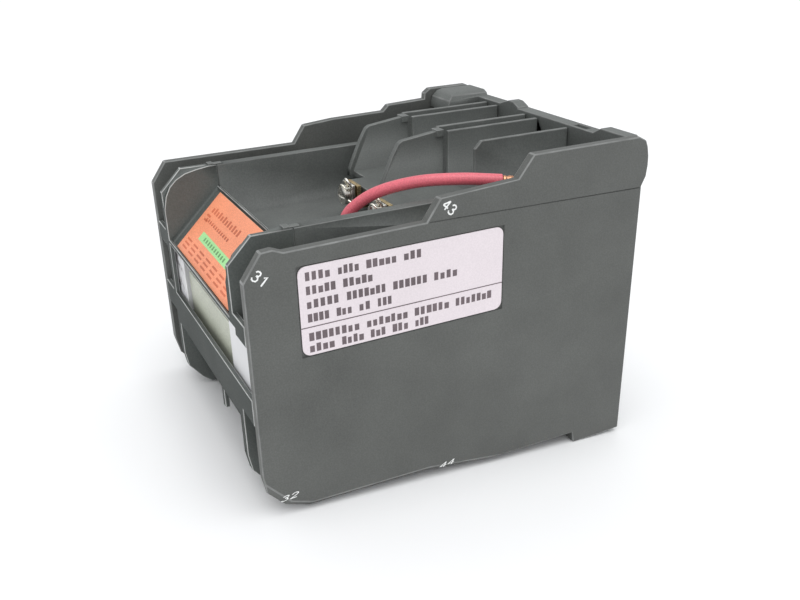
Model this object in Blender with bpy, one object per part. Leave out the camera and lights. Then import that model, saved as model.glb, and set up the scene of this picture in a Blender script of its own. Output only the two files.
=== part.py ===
"""A four-pole block contactor for a 35 mm top-hat rail.

Frame: the origin is the middle of the rail seat on the rear. +X is right as seen from the front,
the front faces -Y, the rail lies behind the seat at +Y, and +Z is up.
Sizes are in millimetres. The helpers turn them into Blender's metres.
"""

import math

import bmesh
import bpy
from mathutils import Matrix, Vector

MM = 0.001

# Driving dimensions
HALF_WIDTH = 43.0
DEPTH = 106.0
HALF_HEIGHT = 42.75
PANEL = 2.5
GAP = 0.3
RAIL_HALF = 17.5

# Depths of the main planes, front to rear
FRONT = -DEPTH
COVER_REAR = -90.1
CHAMBER_FRONT = -89.2
DECK_FRONT = -57.0
CHAMBER_REAR = -49.6
HOUSING_SPLIT = -34.0
BASE_FRONT = -4.0

# Inner side walls, called cheeks here
CHEEK_IN = 28.7
CHEEK_MID = 30.2
CHEEK_OUT = 31.7
CHEEK_TOP = 31.4
CHEEK_BOTTOM = -35.6
INSIDE = HALF_WIDTH - PANEL - GAP

# Poles: three main poles and a make contact on the right
MAIN_POLES = {"1": -36.0, "2": -6.5, "3": 13.0}
MAKE_POLE = 36.0
BREAK_POLES = {"21_22": -36.0, "31_32": 36.0}
STRIP_HALF = 3.5
BRIDGE_HALF = 2.5
COIL_TERMINAL_X = 21.5

# Double barrier walls between the bays
WALLS = (-21.2, -0.5, 19.5)
WALL_HALF = 3.6
WALL_SKIN = 1.2
WALL_RIB = (-0.2, 1.6)
WALL_TOP = 40.2
WALL_BOTTOM = -35.6

# Terminal shelf
DECK_LOW = 22.3
DECK_TOP = 26.3
WELL_RIGHT = -20.5
DECK_CORNER = (-12.1, -52.5)
SCREW_Z = 24.0
BREAK_SCREW_Z = 21.5

# Front window, and the carrier bar that moves behind it
CROSSBAR_REAR = FRONT + 1.2
WINDOW = (-4.1, 10.9)
SIDE_WINDOW_TOP = 9.2
BAR = (-7.3, 9.0)
BAR_ROOM = 0.4
BAR_FRONT = -104.4
BAR_REAR = -99.0
BAR_LIMIT = -94.6


def clear_scene():
    for obj in list(bpy.data.objects):
        bpy.data.objects.remove(obj)


def material(name, color, roughness, metallic=0.0):
    mat = bpy.data.materials.new(name)
    mat.use_nodes = True
    shader = mat.node_tree.nodes["Principled BSDF"]
    shader.inputs["Base Color"].default_value = (*color, 1.0)
    shader.inputs["Roughness"].default_value = roughness
    shader.inputs["Metallic"].default_value = metallic
    return mat


def make_materials():
    return {
        "housing": material("housing", (0.075, 0.082, 0.078), 0.5),
        "panel": material("panel", (0.095, 0.1, 0.095), 0.5),
        "carrier": material("carrier", (0.75, 0.75, 0.76), 0.45),
        "plate": material("plate", (0.5, 0.53, 0.43), 0.4),
        "nameplate": material("nameplate", (0.9, 0.28, 0.1), 0.45),
        "label": material("label", (0.9, 0.82, 0.88), 0.4),
        "steel": material("steel", (0.6, 0.6, 0.58), 0.35, 1.0),
        "core": material("core", (0.35, 0.34, 0.33), 0.45, 1.0),
        "brass": material("brass", (0.72, 0.58, 0.32), 0.3, 1.0),
        "copper": material("copper", (0.8, 0.42, 0.25), 0.35, 1.0),
        "bobbin": material("bobbin", (0.55, 0.5, 0.4), 0.5),
        "rubber": material("rubber", (0.03, 0.03, 0.03), 0.8),
        "wire": material("wire", (0.75, 0.08, 0.12), 0.35),
    }


def mesh_object(name, bm):
    """Turns a bmesh in millimetres into an object in metres."""
    bmesh.ops.scale(bm, vec=Vector((MM, MM, MM)), verts=bm.verts)
    bmesh.ops.recalc_face_normals(bm, faces=bm.faces)
    mesh = bpy.data.meshes.new(name)
    bm.to_mesh(mesh)
    bm.free()
    obj = bpy.data.objects.new(name, mesh)
    bpy.context.scene.collection.objects.link(obj)
    return obj


def box(x0, x1, y0, y1, z0, z1):
    return prism("X", [(y0, z0), (y1, z0), (y1, z1), (y0, z1)], x0, x1)


def prism(axis, outline, low, high):
    """A closed outline extruded along an axis: (y, z) points for X, (x, z) for Y and (x, y) for Z."""
    places = {
        "X": lambda a, b, c: (c, a, b),
        "Y": lambda a, b, c: (a, c, b),
        "Z": lambda a, b, c: (a, b, c),
    }
    bm = bmesh.new()
    verts = [bm.verts.new(places[axis](a, b, low)) for a, b in outline]
    face = bm.faces.new(verts)
    made = bmesh.ops.extrude_face_region(bm, geom=[face])
    shift = Vector(places[axis](0.0, 0.0, high - low))
    moved = [g for g in made["geom"] if isinstance(g, bmesh.types.BMVert)]
    bmesh.ops.translate(bm, vec=shift, verts=moved)
    return mesh_object("solid", bm)


def circle(cx, cy, radius, count=12):
    angles = [math.tau * i / count for i in range(count)]
    return [(cx + radius * math.cos(a), cy + radius * math.sin(a)) for a in angles]


def arc(cx, cy, radius, start, end, steps):
    """Points on an arc, with angles in degrees."""
    angles = [math.radians(start + (end - start) * i / steps) for i in range(steps + 1)]
    return [(cx + radius * math.cos(a), cy + radius * math.sin(a)) for a in angles]


def rod(x, z, radius, y0, y1):
    """A cylinder along Y."""
    return prism("Y", circle(x, z, radius), y0, y1)


def both(solid, *sizes):
    """A box and its mirror image across the rail's middle plane, top and bottom."""
    x0, x1, y0, y1, z0, z1 = sizes
    return [solid(x0, x1, y0, y1, z0, z1), solid(x0, x1, y0, y1, -z1, -z0)]


def sides(solid, *sizes):
    """A box on the right and its mirror image on the left."""
    x0, x1, y0, y1, z0, z1 = sizes
    return [solid(x0, x1, y0, y1, z0, z1), solid(-x1, -x0, y0, y1, z0, z1)]


def combine(solids, cuts=(), intersect=()):
    """Joins solids into one body, cuts others out of it and keeps what lies in the last ones."""
    body = solids[0]
    helpers = [*solids[1:], *cuts, *intersect]
    for operation, group in (("UNION", solids[1:]), ("DIFFERENCE", cuts), ("INTERSECT", intersect)):
        for helper in group:
            modifier = body.modifiers.new(operation.lower(), "BOOLEAN")
            modifier.operation = operation
            modifier.solver = "EXACT"
            modifier.object = helper
    graph = bpy.context.evaluated_depsgraph_get()
    mesh = bpy.data.meshes.new_from_object(body.evaluated_get(graph))
    body.modifiers.clear()
    body.data = mesh
    for helper in helpers:
        bpy.data.objects.remove(helper)
    return body


def finish_part(obj, name, mat, parent=None, smooth=False):
    """Names a part, cleans its mesh, gives it its material and puts it under its parent."""
    bm = bmesh.new()
    bm.from_mesh(obj.data)
    bmesh.ops.remove_doubles(bm, verts=bm.verts, dist=1e-6)
    bmesh.ops.dissolve_limit(bm, angle_limit=math.radians(0.05), verts=bm.verts, edges=bm.edges)
    bmesh.ops.triangulate(bm, faces=bm.faces)
    bm.to_mesh(obj.data)
    bm.free()
    obj.name = name
    obj.data.name = name
    obj.data.materials.clear()
    obj.data.materials.append(mat)
    if smooth:
        obj.data.shade_smooth()
        obj.data.set_sharp_from_angle(angle=math.radians(40))
    if parent:
        obj.data.transform(Matrix.Translation(-parent.location))
        obj.parent = parent
    return obj


def joint_empty(name, location):
    empty = bpy.data.objects.new(name, None)
    empty.location = Vector(location) * MM
    bpy.context.scene.collection.objects.link(empty)
    return empty


# Housing


PANEL_TOP_RIGHT = [(FRONT, 25.4), (-101.7, 31.5), (-99.0, 31.7), (-96.6, 30.7), (-62.5, 31.1), (-58.9, 36.2)]
PANEL_TOP_LEFT = [(FRONT, 25.4), (-101.9, 31.1), (-62.5, 31.1), (-58.9, 36.2)]
PANEL_STEP_RIGHT = [(-37.9, 37.4), (-33.7, HALF_HEIGHT), (-2.0, HALF_HEIGHT)]
PANEL_STEP_LEFT = [(-49.4, 37.0), (-32.2, 37.3), (-30.3, 39.1), (-17.4, 39.6), (-17.2, 41.4)]
PANEL_STEP_LEFT += [(-15.3, 42.7), (-2.0, HALF_HEIGHT)]
PANEL_REAR = [(0.2, 41.6), (0.9, 39.9), (1.4, 37.5), (1.5, 35.0), (1.2, 32.2), (0.0, 29.8)]
PANEL_FOOT = [(0.0, -HALF_HEIGHT), (-16.0, -HALF_HEIGHT), (-16.6, -39.4)]
PANEL_BOTTOM = [(-56.0, -38.4), (-62.2, -37.4), (-94.8, -36.3), (-100.8, -34.0), (-104.9, -29.3)]
PANEL_CHAMFER = 2.0


def side_panel(top, outer, inner):
    """A flat panel, chamfered along the outer face's bottom edges ahead of the rear foot."""
    outline = top + PANEL_REAR + PANEL_FOOT + PANEL_BOTTOM + [(FRONT, -24.0)]
    panel = prism("X", outline, *sorted((outer, inner)))
    bottom = {(round(y, 1), round(z, 1)) for y, z in PANEL_BOTTOM}
    bm = bmesh.new()
    bm.from_mesh(panel.data)
    outer_verts = {
        v for v in bm.verts
        if abs(v.co.x / MM - outer) < GAP and (round(v.co.y / MM, 1), round(v.co.z / MM, 1)) in bottom
    }
    edges = [e for e in bm.edges if set(e.verts) <= outer_verts]
    bmesh.ops.bevel(bm, geom=edges, offset=PANEL_CHAMFER * MM, segments=1, affect="EDGES")
    bm.to_mesh(panel.data)
    bm.free()
    return panel


LABEL = {"y0": -94.0, "y1": -41.8, "z0": 5.2, "z1": 26.6, "recess": 0.5}


def make_side_panels(mats):
    inner = HALF_WIDTH - PANEL
    right = side_panel(PANEL_TOP_RIGHT + PANEL_STEP_RIGHT, HALF_WIDTH, inner)
    floor = HALF_WIDTH - LABEL["recess"]
    recess = box(
        floor, HALF_WIDTH + 1.0,
        LABEL["y0"] - GAP, LABEL["y1"] + GAP,
        LABEL["z0"] - GAP, LABEL["z1"] + GAP,
    )
    finish_part(combine([right], [recess]), "side_panel_right", mats["panel"])
    left = side_panel(PANEL_TOP_LEFT + PANEL_STEP_LEFT, -HALF_WIDTH, -inner)
    finish_part(left, "side_panel_left", mats["panel"])
    label = box(floor + GAP, HALF_WIDTH, LABEL["y0"], LABEL["y1"], LABEL["z0"], LABEL["z1"])
    finish_part(label, "side_label", mats["label"])


SCREW_PLACES = [(-36.5, 19.0), (36.5, -19.0)]
HOOK_HALF = 28.0
SEAT_HALF = 15.4
SEAT_RELIEF = 0.3
LATCH_STEM = 8.9
LATCH_FLANGE = 12.0


def rear_lugs():
    """The raised corners beside the panels and the rounded bump between them."""
    nose = arc(-11.3, 38.5, 4.0, 180, 90, 3)
    left_side = nose + [(-0.5, 42.5), (-0.5, 37.0), (-15.3, 37.0)]
    left_front = [(-INSIDE, 37.0), (-INSIDE, 42.5), (-31.5, 42.5), (-29.8, 41.8), (-29.0, 40.0)]
    left_front.append((-29.0, 37.0))
    left_block = prism("Y", left_front, -20.0, 1.0)
    keep = prism("X", left_side, -INSIDE - 1.0, -28.0)
    right_front = [(27.2, 39.0), (27.2, 40.9), (30.1, 42.5), (INSIDE, 42.5), (INSIDE, 39.0)]
    bump = [(-17.0, 39.0), (-17.0, 41.0), (-12.4, 42.5), (-10.2, 42.4), (-7.4, 41.2), (-7.4, 39.0)]
    return [
        combine([left_block], intersect=[keep]),
        prism("Y", right_front, BASE_FRONT, -0.2),
        prism("Y", bump, BASE_FRONT, -0.1),
        box(33.9, INSIDE, -12.0, BASE_FRONT + 1.0, 37.5, 39.9),
    ]


def make_base(mats):
    plate = box(-INSIDE, INSIDE, BASE_FRONT, 0.0, -39.0, 40.9)
    feet = sides(box, 14.0, INSIDE, -16.0, 0.0, -42.5, -38.0)
    hook_side = [(-0.5, RAIL_HALF + 0.3), (1.4, RAIL_HALF + 0.3), (1.4, RAIL_HALF - 1.9)]
    hook_back = [(3.6, RAIL_HALF - 1.9), (3.6, 24.0), (0.0, 26.0), (-0.5, 26.0)]
    hook = prism("X", hook_side + hook_back, -HOOK_HALF, HOOK_HALF)
    guides = sides(box, LATCH_STEM, HOOK_HALF, -0.5, 3.6, -40.0, -RAIL_HALF - 0.6)
    recess = box(-LATCH_FLANGE, LATCH_FLANGE, -SEAT_RELIEF, 1.9, -41.0, -SEAT_HALF)
    relief = box(-HOOK_HALF, HOOK_HALF, -SEAT_RELIEF, 0.5, SEAT_HALF, RAIL_HALF + 0.3)
    pocket = box(17.3, 23.0, -3.2, -0.9, 38.6, 42.0)
    holes = [rod(x, z, 1.7, -5.0, 1.0) for x, z in SCREW_PLACES]
    sinks = [rod(x, z, 3.3, -2.0, 1.0) for x, z in SCREW_PLACES]
    base = combine([plate, *rear_lugs(), *feet, hook, *guides], [recess, relief, pocket, *holes, *sinks])
    spring_peg = box(-2.6, 2.6, -1.5, 2.8, -35.4, -33.2)
    finish_part(combine([base, spring_peg]), "base_plate", mats["housing"])

    for number, (x, z) in enumerate(SCREW_PLACES, 1):
        fastener = combine([rod(x, z, 3.0, -1.7, -0.2), rod(x, z, 1.4, -12.0, -1.6)])
        finish_part(fastener, f"base_screw_{number}", mats["steel"], smooth=True)


def make_rear_housing(mats):
    rear = BASE_FRONT - GAP
    front = HOUSING_SPLIT + 0.15
    block = box(-INSIDE, INSIDE, -47.3, rear, -22.0, 22.0)
    skins = []
    for wall in WALLS:
        for x in (wall - WALL_HALF, wall + WALL_HALF - WALL_SKIN):
            skins.append(box(x, x + WALL_SKIN, front, rear, WALL_BOTTOM, -21.0))
            if wall < 0:
                skins.append(box(x, x + WALL_SKIN, front, rear, 21.0, WALL_TOP))
    single = [(front, 21.0), (front, 38.2), (front + 2.0, WALL_TOP), (rear, WALL_TOP), (rear, 21.0)]
    skins.append(prism("X", single, WALLS[2] - WALL_HALF, WALLS[2] - WALL_HALF + WALL_SKIN))
    tab_post = box(34.0, INSIDE, -29.6, -26.0, 21.0, 36.5)
    well = box(-17.0, 17.0, -48.0, rear + 1.0, -19.5, 19.5)
    holes = [rod(x, z, 1.7, -12.5, rear + 1.0) for x, z in SCREW_PLACES]
    housing = combine([block, *skins, tab_post], [well, *holes])
    finish_part(housing, "rear_housing", mats["housing"])


RIB_TOP = [(-54.0, 25.0), (-53.4, 27.2), (-50.0, 34.6), (-48.0, 38.0), (-46.9, 38.7), (-36.5, 40.0)]
RIB_TOP += [(HOUSING_SPLIT - 0.15, 40.1), (HOUSING_SPLIT - 0.15, 25.0)]
RIB_BOTTOM = [(-53.6, -25.0), (HOUSING_SPLIT - 0.15, -25.0)]
RIB_BOTTOM += [(HOUSING_SPLIT - 0.15, WALL_BOTTOM), (-47.0, WALL_BOTTOM)]


def front_ribs():
    """Front halves of the barrier walls, each with a thicker clip where it meets the rear half."""
    ribs = []
    for wall in WALLS[:2]:
        x0, x1 = wall + WALL_RIB[0], wall + WALL_RIB[1]
        ribs.append(prism("X", RIB_TOP, x0, x1))
        ribs.append(prism("X", RIB_BOTTOM, x0, x1))
        ribs.append(box(x0 - 0.9, x1 + 0.6, -36.6, HOUSING_SPLIT - GAP, 38.4, 40.4))
    return ribs


def make_front_housing(mats):
    cheek = CHEEK_IN, CHEEK_OUT
    split = HOUSING_SPLIT - 0.15
    solids = sides(box, *cheek, COVER_REAR + 0.15, -47.6, CHEEK_BOTTOM, CHEEK_TOP)
    for z0, z1 in ((22.5, CHEEK_TOP), (CHEEK_BOTTOM, -22.5)):
        solids += sides(box, *cheek, -48.0, -45.0, z0, z1)
    solids.append(box(-INSIDE, -CHEEK_IN, DECK_FRONT, split, DECK_LOW, DECK_TOP))
    solids.append(box(WELL_RIGHT, DECK_CORNER[0] + 1.0, DECK_CORNER[1], split, DECK_LOW, DECK_TOP))
    solids.append(box(DECK_CORNER[0], INSIDE, DECK_FRONT, split, DECK_LOW, DECK_TOP))
    solids.append(box(-INSIDE, INSIDE, DECK_FRONT, split, -DECK_TOP, -DECK_LOW))
    solids += both(box, -CHEEK_IN - 0.5, CHEEK_IN + 0.5, CHAMBER_FRONT, CHAMBER_REAR, 14.0, 16.0)
    solids.append(box(-CHEEK_IN - 0.5, CHEEK_IN + 0.5, CHAMBER_FRONT, CHAMBER_FRONT + 2.0, -15.0, 15.0))
    solids += front_ribs()
    for z0, z1 in ((17.0, 26.0), (-26.0, -17.0)):
        solids += sides(box, CHEEK_OUT - 0.5, INSIDE, -88.8, -82.0, z0, z1)
    cuts = [box(-16.8, 18.0, CHAMBER_FRONT - 1.0, CHAMBER_FRONT + 3.0, -5.1, 5.1)]
    for x in (*MAIN_POLES.values(), MAKE_POLE, COIL_TERMINAL_X):
        cuts += [rod(x, z, 2.0, DECK_FRONT - 1.0, -49.0) for z in (-SCREW_Z, SCREW_Z)]
    for x in BREAK_POLES.values():
        cuts += [rod(x, z, 1.7, -89.5, -81.0) for z in (-BREAK_SCREW_Z, BREAK_SCREW_Z)]
    finish_part(combine(solids, cuts), "front_housing", mats["housing"])


NAMEPLATE = {"half": 24.0, "low": (-105.0, 11.5), "high": (-91.2, 24.9), "thick": 0.4}
CHEEK_REAR = [(COVER_REAR - 0.15, CHEEK_TOP), (COVER_REAR - 0.15, CHEEK_BOTTOM)]
CHEEK_CHIN = [(-98.8, CHEEK_BOTTOM), (-101.5, -33.4), (-105.2, -28.6), (FRONT, -24.0)]
CHEEK_ROUND = [(FRONT, 20.8), (-105.2, 24.4), (-103.9, 26.9), (-101.9, 28.8), (-99.2, 30.2)]
CHEEK_ROUND += [(-96.0, 30.9), (-92.4, CHEEK_TOP)]
CHEEK_CORNER = [(FRONT, 25.4), (-100.1, CHEEK_TOP)]
UPPER_BAR = [(-102.4, 9.9), (-105.4, 9.9), (FRONT, WINDOW[1]), (FRONT, 12.1), (-105.4, 12.1)]
UPPER_BAR += [(-105.4, 10.9), (-104.2, 10.9)]
SLOPE = [(-90.6, 24.1), (-90.6, 25.4), (-89.9, 25.4), (-89.9, 14.0), (-91.1, 14.0), (-91.1, 20.9)]


def make_front_cover(mats):
    """Crossbars and slope between two cheeks, each a rounded inner and a cornered outer layer."""
    low, high = WINDOW
    solids = []
    for sign in (1, -1):
        for outline, layer in ((CHEEK_ROUND, (CHEEK_IN, CHEEK_MID)), (CHEEK_CORNER, (CHEEK_MID, CHEEK_OUT))):
            x0, x1 = sorted(sign * x for x in layer)
            solids.append(prism("X", outline + CHEEK_REAR + CHEEK_CHIN, x0, x1))
    middle = -CHEEK_IN - 0.5, CHEEK_IN + 0.5
    solids.append(box(*middle, FRONT, CROSSBAR_REAR, -14.2, low))
    solids += sides(box, CHEEK_OUT - 0.5, INSIDE, FRONT, CROSSBAR_REAR, SIDE_WINDOW_TOP, 14.3)
    solids += sides(box, CHEEK_OUT - 0.5, INSIDE, FRONT, CROSSBAR_REAR, -10.9, low)
    solids.append(prism("X", UPPER_BAR + SLOPE, *middle))
    solids.append(box(13.0, 15.0, FRONT, CROSSBAR_REAR, -19.5, -13.5))
    around = BAR[0] - BAR_ROOM, BAR[1] + BAR_ROOM
    cuts = sides(box, CHEEK_IN - 1.0, CHEEK_OUT + 1.0, CROSSBAR_REAR, BAR_LIMIT, *around)
    cuts.append(box(CHEEK_IN - 1.0, CHEEK_OUT + 1.0, FRONT - 1.0, CROSSBAR_REAR + 0.01, low, high))
    cuts += sides(box, CHEEK_IN - GAP, CHEEK_OUT + 1.0, COVER_REAR - 0.15, -80.0, -40.0, 40.0)
    finish_part(combine(solids, cuts), "front_cover", mats["housing"])

    low = Vector(NAMEPLATE["low"])
    high = Vector(NAMEPLATE["high"])
    along = (high - low).normalized()
    inward = Vector((along.y, -along.x)) * NAMEPLATE["thick"]
    outline = [low, high, high + inward, low + inward]
    half = NAMEPLATE["half"]
    plate = prism("X", [tuple(p) for p in outline], -half, half)
    finish_part(plate, "nameplate", mats["nameplate"])


# Magnet and coil


def e_core(face, spine_front, spine_rear):
    """An E-shaped core: the spine, and three legs that reach from it to the pole faces."""
    legs = sorted((face, (spine_front + spine_rear) / 2))
    spine = box(-8.0, 8.0, spine_front, spine_rear, -18.0, 18.0)
    return combine([spine, box(-8.0, 8.0, *legs, -4.5, 4.5), *both(box, -8.0, 8.0, *legs, 13.5, 18.0)])


def make_magnet(mats, moving):
    finish_part(e_core(-27.0, -11.0, -5.3), "fixed_core", mats["core"])
    cushion = box(-8.0, 8.0, -5.0, BASE_FRONT - GAP, -16.0, 16.0)
    finish_part(cushion, "core_cushion", mats["rubber"])
    for name, sign in (("upper", 1), ("lower", -1)):
        low, high = sorted((sign * 12.8, sign * 19.1))
        inner_low, inner_high = sorted((sign * 13.2, sign * 18.3))
        ring = box(-9.3, 9.3, -26.2, -24.9, low, high)
        leg_hole = box(-8.3, 8.3, -27.0, -24.0, inner_low, inner_high)
        finish_part(combine([ring], [leg_hole]), "shading_ring_" + name, mats["copper"])
    finish_part(e_core(-31.3, -41.0, -36.3), "moving_core", mats["core"], moving)

    tube = box(-9.6, 9.6, -26.0, -11.4, -6.1, 6.1)
    flanges = [box(-14.5, 14.5, y, y + 1.2, -12.4, 12.4) for y in (-26.0, -12.6)]
    bore = box(-8.4, 8.4, -27.0, -10.0, -4.9, 4.9)
    finish_part(combine([tube, *flanges], [bore]), "coil_bobbin", mats["bobbin"])
    winding = prism("Y", rounded_rect(13.8, 11.8, 3.0), -24.5, -12.9)
    core_hole = box(-9.9, 9.9, -26.0, -12.0, -6.4, 6.4)
    finish_part(combine([winding], [core_hole]), "coil_winding", mats["copper"], smooth=True)


def rounded_rect(half_a, half_b, radius, steps=3):
    corners = [(1, 1, 0), (-1, 1, 90), (-1, -1, 180), (1, -1, 270)]
    points = []
    for sa, sb, start in corners:
        points += arc(sa * (half_a - radius), sb * (half_b - radius), radius, start, start + 90, steps)
    return points


# Springs


def coil_spring(place, axis, radius, wire, start, end, turns, steps=10, wire_sides=5):
    """A helix of round wire along an axis, as one closed tube with flat ends."""
    count = int(turns * steps) + 1
    bm = bmesh.new()
    rings = []
    span = end - start - math.copysign(2 * wire, end - start)
    first = start + math.copysign(wire, end - start)
    for i in range(count):
        angle = math.tau * i / steps
        along = first + span * i / (count - 1)
        out = Vector((math.cos(angle), math.sin(angle)))
        ring = []
        for k in range(wire_sides):
            turn = math.tau * k / wire_sides
            reach = radius + wire * math.cos(turn)
            a = out.x * reach
            b = out.y * reach
            c = along + wire * math.sin(turn)
            at = (place[0] + a, c, place[1] + b) if axis == "Y" else (place[0] + a, place[1] + b, c)
            ring.append(bm.verts.new(at))
        rings.append(ring)
    for one, two in zip(rings, rings[1:]):
        for k in range(wire_sides):
            after = (k + 1) % wire_sides
            bm.faces.new((one[k], one[after], two[after], two[k]))
    bm.faces.new(rings[0])
    bm.faces.new(rings[-1])
    return mesh_object("spring", bm)


# Contacts


def contact_strip(x, sign):
    """A fixed main contact: from its silver tip at the bridge, out and forward to the clamp."""
    outline = [(-49.2, 8.0), (-48.0, 8.0), (-48.0, 21.7), (-57.7, 21.7), (-57.7, 27.0)]
    outline += [(-58.9, 27.0), (-58.9, 20.5), (-49.2, 20.5)]
    outline = [(y, sign * z) for y, z in outline]
    strip = prism("X", outline, x - STRIP_HALF, x + STRIP_HALF)
    tip_low, tip_high = sorted((sign * 9.0, sign * 12.5))
    tip = box(x - BRIDGE_HALF, x + BRIDGE_HALF, -50.0, -49.0, tip_low, tip_high)
    return combine([strip, tip], [rod(x, sign * SCREW_Z, 2.0, -60.0, -57.0)])


def break_strip(x, sign):
    """A fixed contact of a break pole, in front of its bridge."""
    low, high = sorted((sign * 8.0, sign * 25.0))
    strip = box(x - 3.2, x + 3.2, -90.2, -89.2, low, high)
    tip_low, tip_high = sorted((sign * 9.0, sign * 12.5))
    tip = box(x - BRIDGE_HALF, x + BRIDGE_HALF, -89.4, -88.4, tip_low, tip_high)
    return combine([strip, tip], [rod(x, sign * BREAK_SCREW_Z, 1.7, -91.0, -88.0)])


def bridge(x, bar_front, bar_rear, tip_front, tip_rear):
    bar = box(x - BRIDGE_HALF, x + BRIDGE_HALF, bar_front, bar_rear, -13.0, 13.0)
    tips = both(box, x - BRIDGE_HALF, x + BRIDGE_HALF, tip_front, tip_rear, 9.0, 12.5)
    return combine([bar, *tips])


def make_contacts(mats, moving):
    for number, x in MAIN_POLES.items():
        finish_part(contact_strip(x, 1), "line_contact_" + number, mats["brass"])
        finish_part(contact_strip(x, -1), "load_contact_" + number, mats["brass"])
        bar = bridge(x, -56.5, -55.3, -55.4, -54.3)
        finish_part(bar, "main_bridge_" + number, mats["copper"], moving)
    finish_part(contact_strip(MAKE_POLE, 1), "make_contact_43", mats["brass"])
    finish_part(contact_strip(MAKE_POLE, -1), "make_contact_44", mats["brass"])
    bar = bridge(MAKE_POLE, -56.5, -55.3, -55.4, -54.3)
    finish_part(bar, "make_bridge_43_44", mats["copper"], moving)
    for numbers, x in BREAK_POLES.items():
        upper, lower = numbers.split("_")
        finish_part(break_strip(x, 1), "break_contact_" + upper, mats["brass"])
        finish_part(break_strip(x, -1), "break_contact_" + lower, mats["brass"])
        bar = bridge(x, -87.1, -86.1, -88.1, -87.0)
        finish_part(bar, "break_bridge_" + numbers, mats["copper"], moving)


def make_return_springs(mats):
    for name, x in (("left", -11.8), ("right", 11.8)):
        spring = coil_spring((x, 0.0), "Y", 1.9, 0.4, -41.0, -26.3, 5.0)
        finish_part(spring, "return_spring_" + name, mats["steel"], smooth=True)


def clamp_screw(x, z, head, plate, face, tip):
    """A slotted screw along Y with its captive clamp plate, whose rear side lies at face."""
    front = face - 4.2
    solids = [
        rod(x, z, head, front, face - 1.1),
        box(x - plate, x + plate, face - 1.2, face, z - plate, z + plate),
        rod(x, z, head * 0.52, face - 0.5, tip),
    ]
    slot = box(x - head - 1.0, x + head + 1.0, front - 1.0, front + 1.0, z - 0.4, z + 0.4)
    return combine(solids, [slot])


def make_terminals(mats):
    names = [("line_screw_" + n, x, 1) for n, x in MAIN_POLES.items()]
    names += [("load_screw_" + n, x, -1) for n, x in MAIN_POLES.items()]
    names += [("make_screw_43", MAKE_POLE, 1), ("make_screw_44", MAKE_POLE, -1)]
    names += [("coil_screw_a1", COIL_TERMINAL_X, 1), ("coil_screw_a2", COIL_TERMINAL_X, -1)]
    for name, x, sign in names:
        finish_part(clamp_screw(x, sign * SCREW_Z, 3.0, 3.3, -59.3, -50.5), name, mats["steel"])
    for numbers, x in BREAK_POLES.items():
        for number, sign in zip(numbers.split("_"), (1, -1)):
            part = clamp_screw(x, sign * BREAK_SCREW_Z, 2.6, 2.9, -90.6, -84.0)
            finish_part(part, "break_screw_" + number, mats["steel"])

    for name, sign in (("a1", 1), ("a2", -1)):
        outline = [(-57.7, 27.0), (-58.9, 27.0), (-58.9, 20.3), (-48.5, 20.3), (-48.5, 21.5)]
        outline = [(y, sign * z) for y, z in outline + [(-57.7, 21.5)]]
        strip = prism("X", outline, COIL_TERMINAL_X - 3.0, COIL_TERMINAL_X + 3.0)
        hole = rod(COIL_TERMINAL_X, sign * SCREW_Z, 2.0, -60.0, -57.0)
        finish_part(combine([strip], [hole]), "coil_terminal_" + name, mats["brass"])


# Carrier and indicator


def make_carrier(mats, moving):
    arm = 3.8
    solids = [box(-INSIDE + 0.1, INSIDE - 0.1, BAR_FRONT, BAR_REAR, *BAR)]
    solids.append(box(-16.2, 14.7, -99.5, -44.0, -4.5, 4.5))
    solids.append(box(12.0, 17.4, -99.5, -52.5, -4.5, 4.5))
    solids.append(box(-14.2, 14.2, -45.5, -41.3, -10.0, 10.0))
    for x in (-36.0, 36.0):
        solids.append(box(x - arm, x + arm, -99.5, -52.5, -3.5, 3.5))
    cuts = [box(-21.3, 21.3, -105.0, -102.2, -8.0, 8.0)]
    opening = BRIDGE_HALF + GAP
    for x in (*MAIN_POLES.values(), MAKE_POLE):
        cuts.append(box(x - opening, x + opening, -63.8, -55.0, -6.0, 6.0))
    for x in BREAK_POLES.values():
        cuts.append(box(x - opening, x + opening, -87.4, -80.5, -6.0, 6.0))
    finish_part(combine(solids, cuts), "contact_carrier", mats["carrier"], moving)

    outline = [(-19.0, -9.7), (19.0, -9.7), (21.0, -7.7), (21.0, 4.8), (-21.0, 4.8), (-21.0, -7.7)]
    plate = prism("Y", outline, -103.3, -102.5)
    finish_part(plate, "position_plate", mats["plate"], moving)


# Jumper wire

JUMPER_ROUTE = [
    (21.5, -60.0, 18.7),
    (20.6, -61.5, 17.9),
    (18.0, -66.0, 18.2),
    (14.9, -69.6, 21.2),
    (14.0, -69.6, 25.4),
    (16.4, -66.2, 29.6),
    (20.0, -61.4, 32.7),
    (25.0, -54.2, 34.9),
    (30.0, -46.1, 35.5),
    (33.0, -40.2, 35.2),
    (34.4, -37.0, 34.9),
]
JUMPER_RADIUS = 1.5


def turned(profile, place, turn, sides_count=10):
    """A solid turned about its own Z from (along, radius) points, then turned and moved into place."""
    bm = bmesh.new()
    rings = []
    for along, radius in profile:
        spots = circle(0.0, 0.0, radius, sides_count)
        rings.append([bm.verts.new(place + turn @ Vector((a, b, along))) for a, b in spots])
    for one, two in zip(rings, rings[1:]):
        for k in range(sides_count):
            after = (k + 1) % sides_count
            bm.faces.new((one[k], one[after], two[after], two[k]))
    bm.faces.new(rings[0])
    bm.faces.new(rings[-1])
    return mesh_object("turned", bm)


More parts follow.
